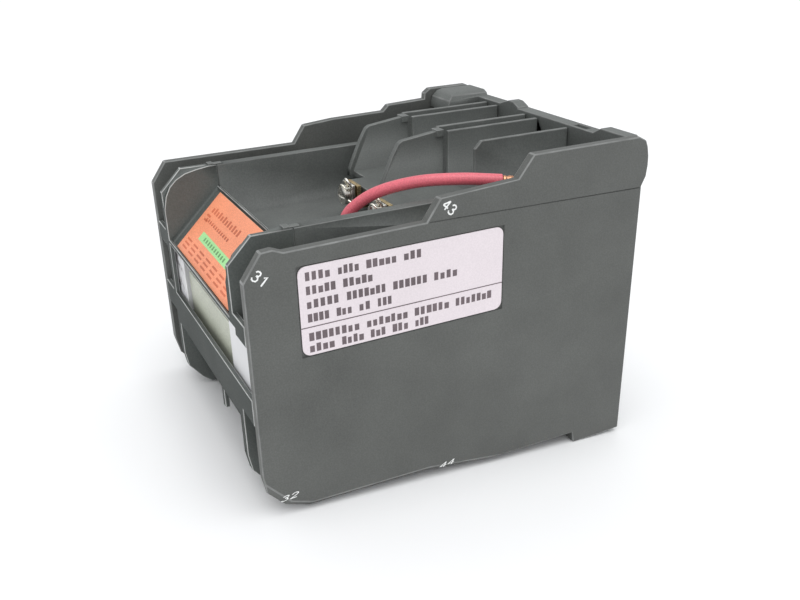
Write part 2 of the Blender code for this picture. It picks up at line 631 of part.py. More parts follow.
def smooth_route(points, step):
    """Evenly spaced points on a Catmull-Rom curve through the route's points."""
    pts = [Vector(p) for p in points]
    pts = [2 * pts[0] - pts[1]] + pts + [2 * pts[-1] - pts[-2]]
    fine = []
    for a, b, c, d in zip(pts, pts[1:], pts[2:], pts[3:]):
        for i in range(12):
            t = i / 12
            curve = 2 * b + (c - a) * t + (2 * a - 5 * b + 4 * c - d) * t**2
            fine.append(0.5 * (curve + (3 * b - a - 3 * c + d) * t**3))
    fine.append(pts[-2])
    total = sum((q - p).length for p, q in zip(fine, fine[1:]))
    spacing = total / round(total / step)
    even = [fine[0]]
    travelled = 0.0
    for p, q in zip(fine, fine[1:]):
        length = (q - p).length
        while travelled + length >= spacing * len(even) - 1e-6 and spacing * len(even) < total - 1e-3:
            even.append(p.lerp(q, (spacing * len(even) - travelled) / length))
        travelled += length
    return even + [fine[-1]]


def make_jumper(mats):
    points = smooth_route(JUMPER_ROUTE, 4.0)
    curve = bpy.data.curves.new("jumper_wire", "CURVE")
    curve.dimensions = "3D"
    curve.bevel_depth = JUMPER_RADIUS * MM
    curve.bevel_resolution = 2
    curve.use_fill_caps = True
    spline = curve.splines.new("POLY")
    spline.points.add(len(points) - 1)
    for point, place in zip(spline.points, points):
        point.co = (*(place * MM), 1.0)
    curve.materials.append(mats["wire"])
    wire = bpy.data.objects.new("jumper_wire", curve)
    bpy.context.scene.collection.objects.link(wire)

    end = Vector(JUMPER_ROUTE[-1])
    along = (end - Vector(JUMPER_ROUTE[-2])).normalized()
    turn = along.to_track_quat("Z", "Y").to_matrix()
    ferrule = turned([(0.3, 1.25), (2.9, 1.25), (2.95, 0.6), (5.4, 0.5)], end, turn)
    finish_part(ferrule, "jumper_ferrule", mats["copper"], smooth=True)

    tab = box(34.6, 39.9, -30.9, -29.9, 32.4, 36.2)
    finish_part(tab, "jumper_tab", mats["brass"])


# Rail latch


def make_latch(mats, moving):
    nose = box(-8.6, 8.6, 1.4, 3.4, -19.0, -RAIL_HALF + 1.9)
    stem = box(-8.6, 8.6, 0.3, 3.4, -41.8, -18.4)
    flange = box(-11.7, 11.7, 0.3, 1.6, -39.7, -18.4)
    window = box(-3.0, 3.0, -1.0, 5.0, -36.0, -25.0)
    grip = box(-2.5, 2.5, -1.0, 5.0, -40.6, -38.6)
    latch = combine([stem, nose, flange], [window, grip])
    finish_part(latch, "rail_latch", mats["housing"], moving)
    spring = coil_spring((0.0, 1.75), "Z", 1.0, 0.25, -32.9, -25.3, 6.0, steps=8)
    finish_part(spring, "latch_spring", mats["steel"], smooth=True)


def main():
    clear_scene()
    mats = make_materials()
    armature = joint_empty("armature_slide_axis", (0.0, -41.3, 0.0))
    latch = joint_empty("rail_latch_axis", (0.0, 1.7, -30.0))
    bpy.context.view_layer.update()
    make_side_panels(mats)
    make_base(mats)
    make_rear_housing(mats)
    make_front_housing(mats)
    make_front_cover(mats)
    make_magnet(mats, armature)
    make_contacts(mats, armature)
    make_return_springs(mats)
    make_terminals(mats)
    make_carrier(mats, armature)
    make_jumper(mats)
    make_latch(mats, latch)


main()
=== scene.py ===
"""Looks of a block contactor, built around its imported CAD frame.

Shapes are written in millimetres, and mm() or MM turns them into the scene's metres.
"""

import math
import random

import bmesh
import bpy
from mathutils import Matrix, Vector


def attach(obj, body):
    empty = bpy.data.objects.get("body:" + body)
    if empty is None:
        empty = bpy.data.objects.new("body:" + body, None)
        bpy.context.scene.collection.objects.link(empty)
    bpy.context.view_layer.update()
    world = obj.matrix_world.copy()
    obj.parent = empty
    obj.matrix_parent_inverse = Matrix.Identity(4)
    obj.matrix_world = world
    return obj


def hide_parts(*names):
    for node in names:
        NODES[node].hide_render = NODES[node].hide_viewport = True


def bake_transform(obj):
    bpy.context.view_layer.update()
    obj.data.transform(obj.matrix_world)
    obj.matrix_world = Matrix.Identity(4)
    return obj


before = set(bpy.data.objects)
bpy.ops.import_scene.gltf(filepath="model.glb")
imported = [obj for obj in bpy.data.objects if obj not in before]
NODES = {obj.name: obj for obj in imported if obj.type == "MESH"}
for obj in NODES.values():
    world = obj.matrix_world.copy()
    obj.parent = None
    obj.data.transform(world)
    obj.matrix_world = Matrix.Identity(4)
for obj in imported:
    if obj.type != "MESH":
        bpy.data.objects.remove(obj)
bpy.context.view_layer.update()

MM = 0.001
HALF_WIDTH = 43.0


def mm(*values):
    return Vector(values) * MM


# Camera

CAMERA_RIGHT = Vector((0.4565, 0.8895, -0.0208))
CAMERA_UP = Vector((-0.3620, 0.2071, 0.9089))
CAMERA_BACK = Vector((0.8127, -0.4074, 0.4166))
CAMERA_PLACE = Vector((0.2030, -0.1499, 0.0957))

camera_data = bpy.data.cameras.new("camera")
camera_data.sensor_width = 36.0
camera_data.lens = 38.547
camera_data.clip_start = 0.005
camera = bpy.data.objects.new("camera", camera_data)
turn = Matrix((CAMERA_RIGHT, CAMERA_UP, CAMERA_BACK)).transposed()
camera.matrix_world = Matrix.Translation(CAMERA_PLACE) @ turn.to_4x4()
bpy.context.scene.collection.objects.link(camera)
bpy.context.scene.camera = camera
bpy.context.scene.view_settings.view_transform = "Standard"


# Node materials


def add(tree, kind, settings=None, **inputs):
    """A shader node with its settings, and constants or links on its inputs."""
    node = tree.nodes.new(kind)
    for key, value in (settings or {}).items():
        setattr(node, key, value)
    for key, value in inputs.items():
        socket = node.inputs[key.replace("_", " ")]
        if isinstance(value, bpy.types.NodeSocket):
            tree.links.new(value, socket)
        else:
            socket.default_value = value
    return node


def noise(tree, scale, detail=3.0, roughness=0.55, stretch=(1, 1, 1)):
    """Noise in the object's own coordinates, stretched along some axes."""
    where = add(tree, "ShaderNodeTexCoord").outputs["Object"]
    mapped = add(tree, "ShaderNodeMapping", Vector=where, Scale=stretch).outputs["Vector"]
    shape = {"Scale": scale, "Detail": detail, "Roughness": roughness}
    return add(tree, "ShaderNodeTexNoise", Vector=mapped, **shape).outputs["Fac"]


def ramp(tree, fac, *stops):
    """A colour ramp through (position, colour or grey) stops."""
    node = add(tree, "ShaderNodeValToRGB", Fac=fac)
    elements = node.color_ramp.elements
    while len(elements) < len(stops):
        elements.new(0.5)
    for element, (position, value) in zip(elements, stops):
        element.position = position
        element.color = (*value, 1.0) if isinstance(value, tuple) else (value, value, value, 1.0)
    return node.outputs["Color"]


def mix(tree, fac, a, b, blend="MIX"):
    node = tree.nodes.new("ShaderNodeMix")
    node.data_type = "RGBA"
    node.blend_type = blend
    for socket, value in ((node.inputs[0], fac), (node.inputs[6], a), (node.inputs[7], b)):
        if isinstance(value, bpy.types.NodeSocket):
            tree.links.new(value, socket)
        elif isinstance(value, tuple):
            socket.default_value = (*value, 1.0)
        else:
            socket.default_value = value
    return node.outputs[2]


def tint(color, factor):
    return tuple(min(1.0, c * factor) for c in color)


def surface(name, color, rough, bump, metallic=0.0, **constants):
    """A Principled material whose colour, roughness and bump come from nodes."""
    mat = bpy.data.materials.new(name)
    mat.use_nodes = True
    tree = mat.node_tree
    shader = tree.nodes["Principled BSDF"]
    shader.inputs["Metallic"].default_value = metallic
    for key, value in constants.items():
        shader.inputs[key.replace("_", " ")].default_value = value
    tree.links.new(color(tree), shader.inputs["Base Color"])
    tree.links.new(rough(tree), shader.inputs["Roughness"])
    height, strength, distance = bump(tree)
    bumped = add(tree, "ShaderNodeBump", Height=height, Strength=strength, Distance=distance)
    tree.links.new(bumped.outputs["Normal"], shader.inputs["Normal"])
    return mat


def moulded(
    name, base, low=0.86, high=1.13, gloss=0.5, grain=0.25, scuffs=0.35, speck=0.12, **constants
):
    """Moulded plastic: mottled colour, fine glass-fibre specks, faint scuffs and eroded grain."""

    def color(tree):
        cloud = noise(tree, 55.0, 5.0)
        mottle = ramp(tree, cloud, (0.3, tint(base, low)), (0.72, tint(base, high)))
        specks = ramp(tree, noise(tree, 2600.0, 2.0), (0.35, 1.0 - speck), (0.7, 1.0 + speck))
        mottled = mix(tree, 1.0, mottle, specks, "MULTIPLY")
        streaks = noise(tree, 90.0, 6.0, 0.7, (1.0, 0.25, 7.0))
        scuff = ramp(tree, streaks, (0.62, 0.0), (0.74, 1.0))
        faint = ramp(tree, noise(tree, 20.0, 2.0), (0.45, 0.0), (0.7, scuffs))
        where = mix(tree, 1.0, scuff, faint, "MULTIPLY")
        return mix(tree, where, mottled, tint(base, 1.75))

    def rough(tree):
        return ramp(tree, noise(tree, 30.0, 4.0), (0.3, gloss - 0.07), (0.7, gloss + 0.12))

    def bump(tree):
        return noise(tree, 3000.0, 3.0), grain, 0.00006

    return surface(name, color, rough, bump, **constants)


def worn_and_highlit(name, base, gloss=0.42):
    """The rubbed plastic of an edge, lighter for wear and for a painted highlight on the rounded
    edge.
    """

    def color(tree):
        return ramp(tree, noise(tree, 220.0, 5.0), (0.32, tint(base, 0.72)), (0.7, tint(base, 1.2)))

    def rough(tree):
        return ramp(tree, noise(tree, 400.0), (0.3, gloss - 0.1), (0.7, gloss + 0.1))

    def bump(tree):
        return noise(tree, 1400.0, 4.0), 0.3, 0.00005

    return surface(name, color, rough, bump)


def blotched(name, base, blotch_color, start=-0.0215, end=-0.027):
    """Moulded plastic with dark blotches on the part left of start, fading in until end, in metres.
    """

    def color(tree):
        cloud = noise(tree, 55.0, 4.0)
        mottle = ramp(tree, cloud, (0.3, tint(base, 0.93)), (0.72, tint(base, 1.05)))
        where = add(tree, "ShaderNodeTexCoord").outputs["Object"]
        across = add(tree, "ShaderNodeSeparateXYZ", Vector=where).outputs["X"]
        fade = {"From_Min": start, "From_Max": end}
        left = add(tree, "ShaderNodeMapRange", Value=across, **fade).outputs["Result"]
        marks = ramp(tree, noise(tree, 260.0, 4.0, 0.7), (0.5, 0.0), (0.62, 1.0))
        return mix(tree, mix(tree, 1.0, left, marks, "MULTIPLY"), mottle, blotch_color)

    def rough(tree):
        return ramp(tree, noise(tree, 30.0, 4.0), (0.3, 0.36), (0.7, 0.52))

    def bump(tree):
        return noise(tree, 3000.0, 3.0), 0.12, 0.00006

    return surface(name, color, rough, bump)


def metal(name, base, shade, gloss=0.3, stretch=(1, 12, 1), brushed=0.25):
    """Rolled or plated metal: brushed grain, duller stains and small nicks."""

    def color(tree):
        stain = ramp(tree, noise(tree, 160.0, 5.0), (0.35, shade), (0.65, base))
        grain = ramp(tree, noise(tree, 900.0, 3.0, 0.6, stretch), (0.3, 0.82), (0.7, 1.1))
        return mix(tree, 1.0, stain, grain, "MULTIPLY")

    def rough(tree):
        streaks = noise(tree, 500.0, 4.0, 0.6, stretch)
        return ramp(tree, streaks, (0.3, gloss - 0.1), (0.72, gloss + 0.18))

    def bump(tree):
        return noise(tree, 1100.0, 4.0, 0.6, stretch), brushed, 0.00005

    return surface(name, color, rough, bump, metallic=1.0)


HOUSING = (0.113, 0.121, 0.115)
PANEL = (0.092, 0.096, 0.090)

# The *_edge plastics are lighter copies for rounded edges: wear, and a painted highlight
M = {
    "housing": moulded("housing_plastic", HOUSING),
    "housing_edge": worn_and_highlit("housing_edge", (0.17, 0.175, 0.17)),
    "cover": moulded("cover_plastic", (0.096, 0.106, 0.100)),
    # Painted shade: a darker copy of the cover plastic for the cover's faces that look forward
    "shaded_cover_front": moulded(
        "shaded_cover_plastic", (0.062, 0.069, 0.065), gloss=0.62, Specular_IOR_Level=0.1
    ),
    # A near-white painted highlight on the cover's rounded edges, with some wear
    "cover_edge": worn_and_highlit("cover_edge", (0.42, 0.43, 0.42)),
    "panel": moulded("panel_plastic", PANEL, gloss=0.52),
    "panel_edge": worn_and_highlit("panel_edge", (0.19, 0.195, 0.19)),
    "carrier": blotched("carrier_plastic", (0.70, 0.70, 0.71), (0.16, 0.14, 0.15)),
    "carrier_edge": worn_and_highlit("carrier_edge", (0.78, 0.78, 0.78)),
    "plate": moulded("plate_plastic", (0.47, 0.49, 0.40), 0.93, 1.07, 0.4, 0.12, 0.15),
    "plate_edge": worn_and_highlit("plate_edge", (0.62, 0.63, 0.55)),
    "nameplate": moulded("nameplate_plastic", (0.86, 0.31, 0.17), 0.93, 1.08, 0.42, 0.1, 0.2),
    "nameplate_edge": worn_and_highlit("nameplate_edge", (0.95, 0.42, 0.24)),
    "nameplate_ink": moulded("nameplate_ink", (0.56, 0.14, 0.065), 0.8, 1.25, 0.5, 0.1, 0.1),
    "green": moulded("green_field", (0.36, 0.72, 0.31), 0.93, 1.07, 0.42, 0.1, 0.1),
    "green_ink": moulded("green_ink", (0.16, 0.36, 0.14), 0.8, 1.3, 0.45, 0.1, 0.1),
    "label": moulded("label_paper", (0.74, 0.67, 0.70), 0.97, 1.02, 0.4, 0.05, 0.0, speck=0.04),
    "label_ink": moulded("label_ink", (0.13, 0.10, 0.11), 0.8, 1.3, 0.5, 0.1, 0.2),
    "digits": moulded("digit_ink", (0.86, 0.87, 0.86), 0.94, 1.03, 0.45, 0.1, 0.05),
    "steel": metal("plated_steel", (0.74, 0.72, 0.67), (0.52, 0.50, 0.46), 0.28),
    "bright": metal("bright_wire", (0.93, 0.91, 0.84), (0.7, 0.66, 0.55), 0.22, (3, 3, 3), 0.1),
    "core": metal("core_steel", (0.30, 0.29, 0.28), (0.18, 0.17, 0.165), 0.42, (30, 1, 1), 0.5),
    "brass": metal("contact_brass", (0.72, 0.57, 0.31), (0.55, 0.40, 0.20), 0.3, (1, 1, 12)),
    "silver": metal("contact_silver", (0.78, 0.76, 0.72), (0.55, 0.53, 0.5), 0.32, (2, 2, 2)),
    "copper": metal("bridge_copper", (0.78, 0.42, 0.26), (0.58, 0.28, 0.16), 0.32, (1, 1, 12)),
    "spring": metal("spring_steel", (0.55, 0.55, 0.55), (0.38, 0.38, 0.38), 0.25, (1, 1, 1)),
    "bobbin": moulded("bobbin_nylon", (0.50, 0.46, 0.36), 0.9, 1.08, 0.45, 0.15, 0.1),
    "rubber": moulded("cushion_rubber", (0.022, 0.022, 0.023), 0.8, 1.3, 0.72, 0.5, 0.1),
    "wire": moulded("wire_sleeve", (0.75, 0.15, 0.19), 0.9, 1.1, 0.34, 0.08, 0.12),
}


# Shared shapes


def link(name, mesh, *mats):
    obj = bpy.data.objects.new(name, mesh)
    bpy.context.scene.collection.objects.link(obj)
    for mat in mats:
        obj.data.materials.append(M[mat])
    return obj


def form(name, bm, *mats):
    """A new object with the shape of a bmesh, which is freed."""
    mesh = bpy.data.meshes.new(name)
    bm.to_mesh(mesh)
    bm.free()
    return link(name, mesh, *mats)


def absorb(bm, piece):
    """Takes a piece's shape into a bmesh and removes the piece."""
    bm.from_mesh(piece.data)
    bpy.data.objects.remove(piece)


def carve(obj, *cutters):
    """Cuts other objects' shapes out of an object and removes them."""
    for cutter in cutters:
        modifier = obj.modifiers.new("cut", "BOOLEAN")
        modifier.operation = "DIFFERENCE"
        modifier.solver = "EXACT"
        modifier.object = cutter
    graph = bpy.context.evaluated_depsgraph_get()
    cut = bpy.data.meshes.new_from_object(obj.evaluated_get(graph))
    obj.modifiers.clear()
    obj.data = cut
    for cutter in cutters:
        bpy.data.objects.remove(cutter)


def smooth_shade(mesh, degrees):
    """Smooth shading with crisp edges where the faces meet at more than these degrees."""
    mesh.shade_smooth()
    mesh.set_sharp_from_angle(angle=math.radians(degrees))


def soften(obj):
    """Smooth shading whose normals follow the larger faces, so that only the bevels look round."""
    obj.data.shade_smooth()
    modifier = obj.modifiers.new("weighted normals", "WEIGHTED_NORMAL")
    modifier.weight = 100
    modifier.keep_sharp = True
    return obj


def inside(point, box):
    """Whether a point in metres lies in a box (x0, x1, y0, y1, z0, z1) in millimetres."""
    return all(low <= c / MM <= high for c, low, high in zip(point, box[::2], box[1::2]))


SHARP_ANGLE = math.radians(30)


def bevel_edges(bm, width, segments, edge_slot, crisp=()):
    """Rounds the sharp outer edges that aren't in a crisp box. The new faces take edge_slot."""
    sharp = [
        e for e in bm.edges
        if e.is_manifold and e.calc_face_angle(0.0) > SHARP_ANGLE and e.is_convex
        and not any(all(inside(v.co, box) for v in e.verts) for box in crisp)
    ]
    bmesh.ops.bevel(
        bm, geom=sharp, offset=width * MM, offset_type="OFFSET", segments=segments, profile=0.5,
        affect="EDGES", clamp_overlap=False, loop_slide=True, material=edge_slot,
    )


SAME_POINT = 1e-6
FLAT_ANGLE = math.radians(0.5)


def cad_mesh(node):
    """A CAD node's mesh as a bmesh of large flat faces."""
    bm = bmesh.new()
    bm.from_mesh(NODES[node].data)
    bmesh.ops.remove_doubles(bm, verts=bm.verts, dist=SAME_POINT)
    bmesh.ops.dissolve_limit(bm, angle_limit=FLAT_ANGLE, verts=bm.verts, edges=bm.edges)
    for face in bm.faces:
        face.material_index = 0
    return bm


def settle(obj, body, slot, *nodes):
    """Rides a finished piece on its body, and hides the CAD nodes that it stands for. Slot is not
    used.
    """
    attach(obj, body)
    if nodes:
        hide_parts(*nodes)
    return obj


# A face looks forward if its normal's Y is below this
FORWARD = -0.8


def refine(node, mat, edge, width, slot, body="housing", crisp=(), wear_highlight_up=None, front=None):
    """A CAD node's shape with rounded edges, worn and with a painted highlight, in place of the
    node.

    With a rise given, only the edge faces whose normal rises more than that keep the lighter edge
    material: wear, and a painted highlight from the light above. Front is a material for the large
    faces that look forward; the front cover's is a darker copy of its plastic, painted shade.
    """
    bm = cad_mesh(node)
    bevel_edges(bm, width, 2, 1, crisp)
    # Edge faces that don't face up lose the lighter edge plastic, so its wear and painted highlight
    # show only where the light above falls
    if wear_highlight_up is not None:
        bm.normal_update()
        for face in bm.faces:
            if face.material_index == 1 and face.normal.z < wear_highlight_up:
                face.material_index = 0
    # The forward faces take the front material, which paints shade where it is a darker copy
    if front:
        for face in bm.faces:
            if face.material_index == 0 and face.normal.y < FORWARD:
                face.material_index = 2
    mats = [mat, edge, front] if front else [mat, edge]
    return settle(soften(form(node + "_form", bm, *mats)), body, slot, node)


def slab(name, outline, x0, x1, *mats):
    """A flat (y, z) outline in millimetres, drawn out from x0 to x1."""
    bm = bmesh.new()
    face = bm.faces.new([bm.verts.new(mm(x0, y, z)) for y, z in outline])
    made = bmesh.ops.extrude_face_region(bm, geom=[face])
    far = [g for g in made["geom"] if isinstance(g, bmesh.types.BMVert)]
    bmesh.ops.translate(bm, vec=mm(x1 - x0, 0, 0), verts=far)
    bmesh.ops.recalc_face_normals(bm, faces=bm.faces)
    return form(name, bm, *mats)


SEAM_LINE = [(-61.7, 31.2), (-61.7, 30.9), (1.5, 29.3), (1.5, 29.6)]
SEAM_DEPTH = 0.22


def groove(obj):
    """Cuts a thin moulding seam across the right panel, from the step to the rear edge."""
    floor_x = HALF_WIDTH - SEAM_DEPTH
    carve(obj, slab("seam_cutter", SEAM_LINE, floor_x, floor_x + 1.0))
    soften(obj)


def rounded(a0, a1, b0, b1, corner, points):
    """The outline of a rectangle with round corners, each of so many points."""
    outline = []
    middles = (
        (a1 - corner, b1 - corner), (a0 + corner, b1 - corner),
        (a0 + corner, b0 + corner), (a1 - corner, b0 + corner),
    )
    for number, (a, b) in enumerate(middles):
        for k in range(points):
            angle = math.radians(90 * number + 90 * k / (points - 1))
            outline.append((a + corner * math.cos(angle), b + corner * math.sin(angle)))
    return outline


def blocks(name, boxes, mat, edge=None, width=0.0, segments=2):
    """Many boxes (x0, x1, y0, y1, z0, z1) in millimetres as one object with rounded edges."""
    bm = bmesh.new()
    for x0, x1, y0, y1, z0, z1 in boxes:
        middle = mm((x0 + x1) / 2, (y0 + y1) / 2, (z0 + z1) / 2)
        size = Matrix.Diagonal((*mm(x1 - x0, y1 - y0, z1 - z0), 1.0))
        bmesh.ops.create_cube(bm, size=1.0, matrix=Matrix.Translation(middle) @ size)
    if width:
        bevel_edges(bm, width, segments, 1 if edge else 0)
    return soften(form(name, bm, *([mat, edge] if edge else [mat])))


def tube(name, path, radius, mat, sides):
    """A round tube along points in metres, with a frame carried along so that it doesn't twist."""
    bm = bmesh.new()
    rings = []
    ahead = (path[1] - path[0]).normalized()
    side = ahead.orthogonal().normalized()
    for i, point in enumerate(path):
        ahead = (path[min(i + 1, len(path) - 1)] - path[max(i - 1, 0)]).normalized()
        side = (side - ahead * side.dot(ahead)).normalized()
        other = ahead.cross(side)
        ring = []
        for k in range(sides):
            angle = math.tau * k / sides
            outward = side * math.cos(angle) + other * math.sin(angle)
            ring.append(bm.verts.new(point + radius * outward))
        rings.append(ring)
    for one, two in zip(rings, rings[1:]):
        for k in range(sides):
            after = (k + 1) % sides
            bm.faces.new((one[k], one[after], two[after], two[k]))
    bm.faces.new(list(reversed(rings[0])))
    bm.faces.new(rings[-1])
    bmesh.ops.recalc_face_normals(bm, faces=bm.faces)
    obj = form(name, bm, mat)
    smooth_shade(obj.data, 50)
    return obj


def lathe(name, profile, place, axis, mats, sides=32, split=None):
    """A turned shape from (along, radius) points in millimetres, from place along axis."""
    bm = bmesh.new()
    spin = axis.to_track_quat("Z", "Y").to_matrix()
    rings = []
    for along, radius in profile:
        ring = []
        for k in range(sides):
            angle = math.tau * k / sides
            point = mm(radius * math.cos(angle), radius * math.sin(angle), along)
            ring.append(bm.verts.new(place + spin @ point))
        rings.append(ring)
    for i, (one, two) in enumerate(zip(rings, rings[1:])):
        for k in range(sides):
            after = (k + 1) % sides
            face = bm.faces.new((one[k], one[after], two[after], two[k]))
            face.material_index = 1 if split is not None and i >= split else 0
    bm.faces.new(list(reversed(rings[0])))
    bm.faces.new(rings[-1])
    bmesh.ops.recalc_face_normals(bm, faces=bm.faces)
    obj = form(name, bm, *mats)
    smooth_shade(obj.data, 40)
    return obj


# Jumper wire

JUMPER_ROUTE = [
    (21.5, -60.0, 18.7),
    (20.6, -61.5, 17.9),
    (18.0, -66.0, 18.2),
    (14.9, -69.6, 21.2),
    (14.0, -69.6, 25.4),
    (16.4, -66.2, 29.6),
    (20.0, -61.4, 32.7),
    (25.0, -54.2, 34.9),
    (30.0, -46.1, 35.5),
    (33.0, -40.2, 35.2),
    (34.4, -37.0, 34.9),
]
JUMPER_RADIUS = 1.5


def smooth_path(points, steps=6):
    """Points in metres on a Catmull-Rom curve through points in millimetres."""
    pts = [mm(*p) for p in points]
    pts = [2 * pts[0] - pts[1]] + pts + [2 * pts[-1] - pts[-2]]
    fine = []
    for a, b, c, d in zip(pts, pts[1:], pts[2:], pts[3:]):
        for i in range(steps):
            t = i / steps
            curve = 2 * b + (c - a) * t + (2 * a - 5 * b + 4 * c - d) * t**2
            fine.append(0.5 * (curve + (3 * b - a - 3 * c + d) * t**3))
    return fine + [pts[-2]]


jumper_path = smooth_path(JUMPER_ROUTE)
jumper = tube("jumper_sleeve", jumper_path, JUMPER_RADIUS * MM, "wire", sides=20)
settle(jumper, "housing", "wire", "jumper_wire")

jumper_end = jumper_path[-1]
jumper_ahead = (jumper_path[-1] - jumper_path[-2]).normalized()
ferrule = lathe(
    "jumper_ferrule_crimp",
    [(0.1, 0.7), (0.3, 1.2), (0.8, 1.25), (1.0, 1.1), (1.5, 1.1), (1.7, 1.25), (2.6, 1.25),
     (2.9, 1.05), (2.95, 0.6), (5.2, 0.55), (5.4, 0.35)],
    jumper_end, jumper_ahead, ["copper", "silver"], split=8,
)
settle(ferrule, "housing", "copper", "jumper_ferrule")


# Floor and light


def floor_material():
    def color(tree):
        cooler, warmer = (0.905, 0.91, 0.915), (0.925, 0.925, 0.93)
        return ramp(tree, noise(tree, 3.0, 2.0), (0.3, cooler), (0.7, warmer))

    def rough(tree):
        return ramp(tree, noise(tree, 8.0), (0.3, 0.55), (0.7, 0.65))

    def bump(tree):
        return noise(tree, 700.0, 2.0), 0.05, 0.0001

    return surface("table_top", color, rough, bump)


M["floor"] = floor_material()

FOOT_EDGE = mm(0.0, -16.0, -42.8)
FLOOR_SLOPE = 0.0812

FLOOR_HALF = 4.0
floor_mesh = bpy.data.meshes.new("table")
corners = [(FLOOR_HALF * x, FLOOR_HALF * y, 0) for x, y in ((-1, -1), (1, -1), (1, 1), (-1, 1))]
floor_mesh.from_pydata(corners, [], [(0, 1, 2, 3)])
floor = link("table", floor_mesh, "floor")
floor_turn = Matrix.Rotation(-math.atan(FLOOR_SLOPE), 4, "X")
floor.matrix_world = Matrix.Translation(FOOT_EDGE) @ floor_turn

world = bpy.data.worlds.new("studio")
world.use_nodes = True
world.node_tree.nodes["Background"].inputs["Color"].default_value = (0.97, 0.985, 1.0, 1.0)
world.node_tree.nodes["Background"].inputs["Strength"].default_value = 0.80
bpy.context.scene.world = world


def sun(name, direction, strength, spread):
    """A soft studio light from far away. Spread is the angle that it fills, in degrees."""
    data = bpy.data.lights.new(name, "SUN")
    data.energy = strength
    data.angle = math.radians(spread)
    lamp = bpy.data.objects.new(name, data)
    lamp.matrix_world = Vector(direction).to_track_quat("-Z", "Y").to_matrix().to_4x4()
    bpy.context.scene.collection.objects.link(lamp)


sun("key", (-0.25, 0.1, -1.0), 1.4, 50.0)
sun("fill", (-1.0, 0.25, -0.35), 0.35, 60.0)


# Mouldings with rounded edges, worn and with a painted highlight

# Boxes whose edges stay crisp, because thin or flush ones can't be rounded
LABEL_POCKET = (42.0, 43.5, -96.0, -40.0, 3.5, 28.5)
HOUSING_SEAM = (-44.0, 44.0, -89.97, -89.93, -43.0, 43.0)
COVER_SEAM = (-44.0, 44.0, -90.27, -90.23, -43.0, 43.0)
SHELF_BORES = [(-44.0, 44.0, -57.1, -48.9, *heights) for heights in ((22.2, 26.2), (-26.2, -22.2))]
LATCH_GUIDES = [(*widths, -0.7, 3.8, -41.1, -15.0) for widths in ((-14.5, -8.0), (8.0, 14.5))]
# Wear and a painted highlight show on the edge faces whose normal rises more than this
WEAR_HIGHLIGHT_UP = 0.2

groove(refine("side_panel_right", "panel", "panel_edge", 0.3, "panel", crisp=[LABEL_POCKET]))
refine("side_panel_left", "panel", "panel_edge", 0.3, "panel")
refine(
    "front_housing", "housing", "housing_edge", 0.2, "housing",
    crisp=[HOUSING_SEAM, *SHELF_BORES], wear_highlight_up=WEAR_HIGHLIGHT_UP,
)
# The cover's forward faces take the darker copy of its plastic, painted shade
refine(
    "front_cover", "cover", "cover_edge", 0.2, "housing", crisp=[COVER_SEAM], front="shaded_cover_front"
)
refine("rear_housing", "housing", "housing_edge", 0.28, "housing", wear_highlight_up=WEAR_HIGHLIGHT_UP)
refine("base_plate", "housing", "housing_edge", 0.28, "housing", crisp=LATCH_GUIDES)
refine("rail_latch", "housing", "housing_edge", 0.2, "latch", "latch")
refine("contact_carrier", "carrier", "carrier_edge", 0.2, "carrier", "armature")
refine("position_plate", "plate", "plate_edge", 0.15, "plate", "armature")
refine("nameplate", "nameplate", "nameplate_edge", 0.12, "nameplate")
refine("coil_bobbin", "bobbin", "bobbin", 0.15, "bobbin")
refine("core_cushion", "rubber", "rubber", 0.08, "rubber")
refine("fixed_core", "core", "core", 0.2, "core")
refine("moving_core", "core", "core", 0.2, "core", "armature")
for end in ("upper", "lower"):
    refine("shading_ring_" + end, "copper", "copper", 0.15, "copper")
for end in ("a1", "a2"):
    refine("coil_terminal_" + end, "brass", "brass", 0.1, "brass")
for node in sorted(NODES):
    if "_contact_" in node and node.split("_")[0] in ("line", "load", "make", "break"):
        refine(node, "brass", "brass", 0.1, "brass")
    if "_bridge_" in node:
        refine(node, "copper", "copper", 0.1, "copper", "armature")
refine("jumper_tab", "brass", "brass", 0.12, "brass")


# Where the cover meets the housing: the closed seam in each cheek, and the clips on top of it

CHEEK = (28.7, 31.7)
CHEEK_HEIGHTS = (-35.6, 31.4)
COVER_JOINT = (-90.25, -89.95)
for side, sign in (("left", -1), ("right", 1)):
    x0, x1 = sorted((sign * CHEEK[0], sign * CHEEK[1]))
    fill = blocks(f"cheek_seam_{side}", [(x0, x1, *COVER_JOINT, *CHEEK_HEIGHTS)], "housing")
    settle(fill, "housing", "housing")
    x0, x1 = sorted((sign * 29.0, sign * 31.5))
    clips = [(x0, x1, -92.4, -90.9, 31.2, 31.9), (x0 + 0.5, x1 - 0.3, -91.2, -88.4, 31.2, 31.7)]
    clip = blocks(f"cheek_clip_{side}", clips, "housing", "housing_edge", 0.15)
    settle(clip, "housing", "housing")


# Small ribs along the inner top edge of the right panel, near the rear corner

ribs = [(39.3, 40.3, -16.6 + 2.7 * k, -15.7 + 2.7 * k, 41.0, 42.1) for k in range(4)]
settle(blocks("top_ribs_right", ribs, "housing", "housing_edge", 0.15), "housing", "housing")


# Where the poles are, from the left, in millimetres

MAIN_X = {"1": -36.0, "2": -6.5, "3": 13.0}
AUX_X = 36.0


# Springs

# Share of a spring at each end that is wound closed, and of its length that the open turns take up
CLOSED_SHARE = 0.12
OPEN_RISE = 0.85
STEPS_A_TURN = 20


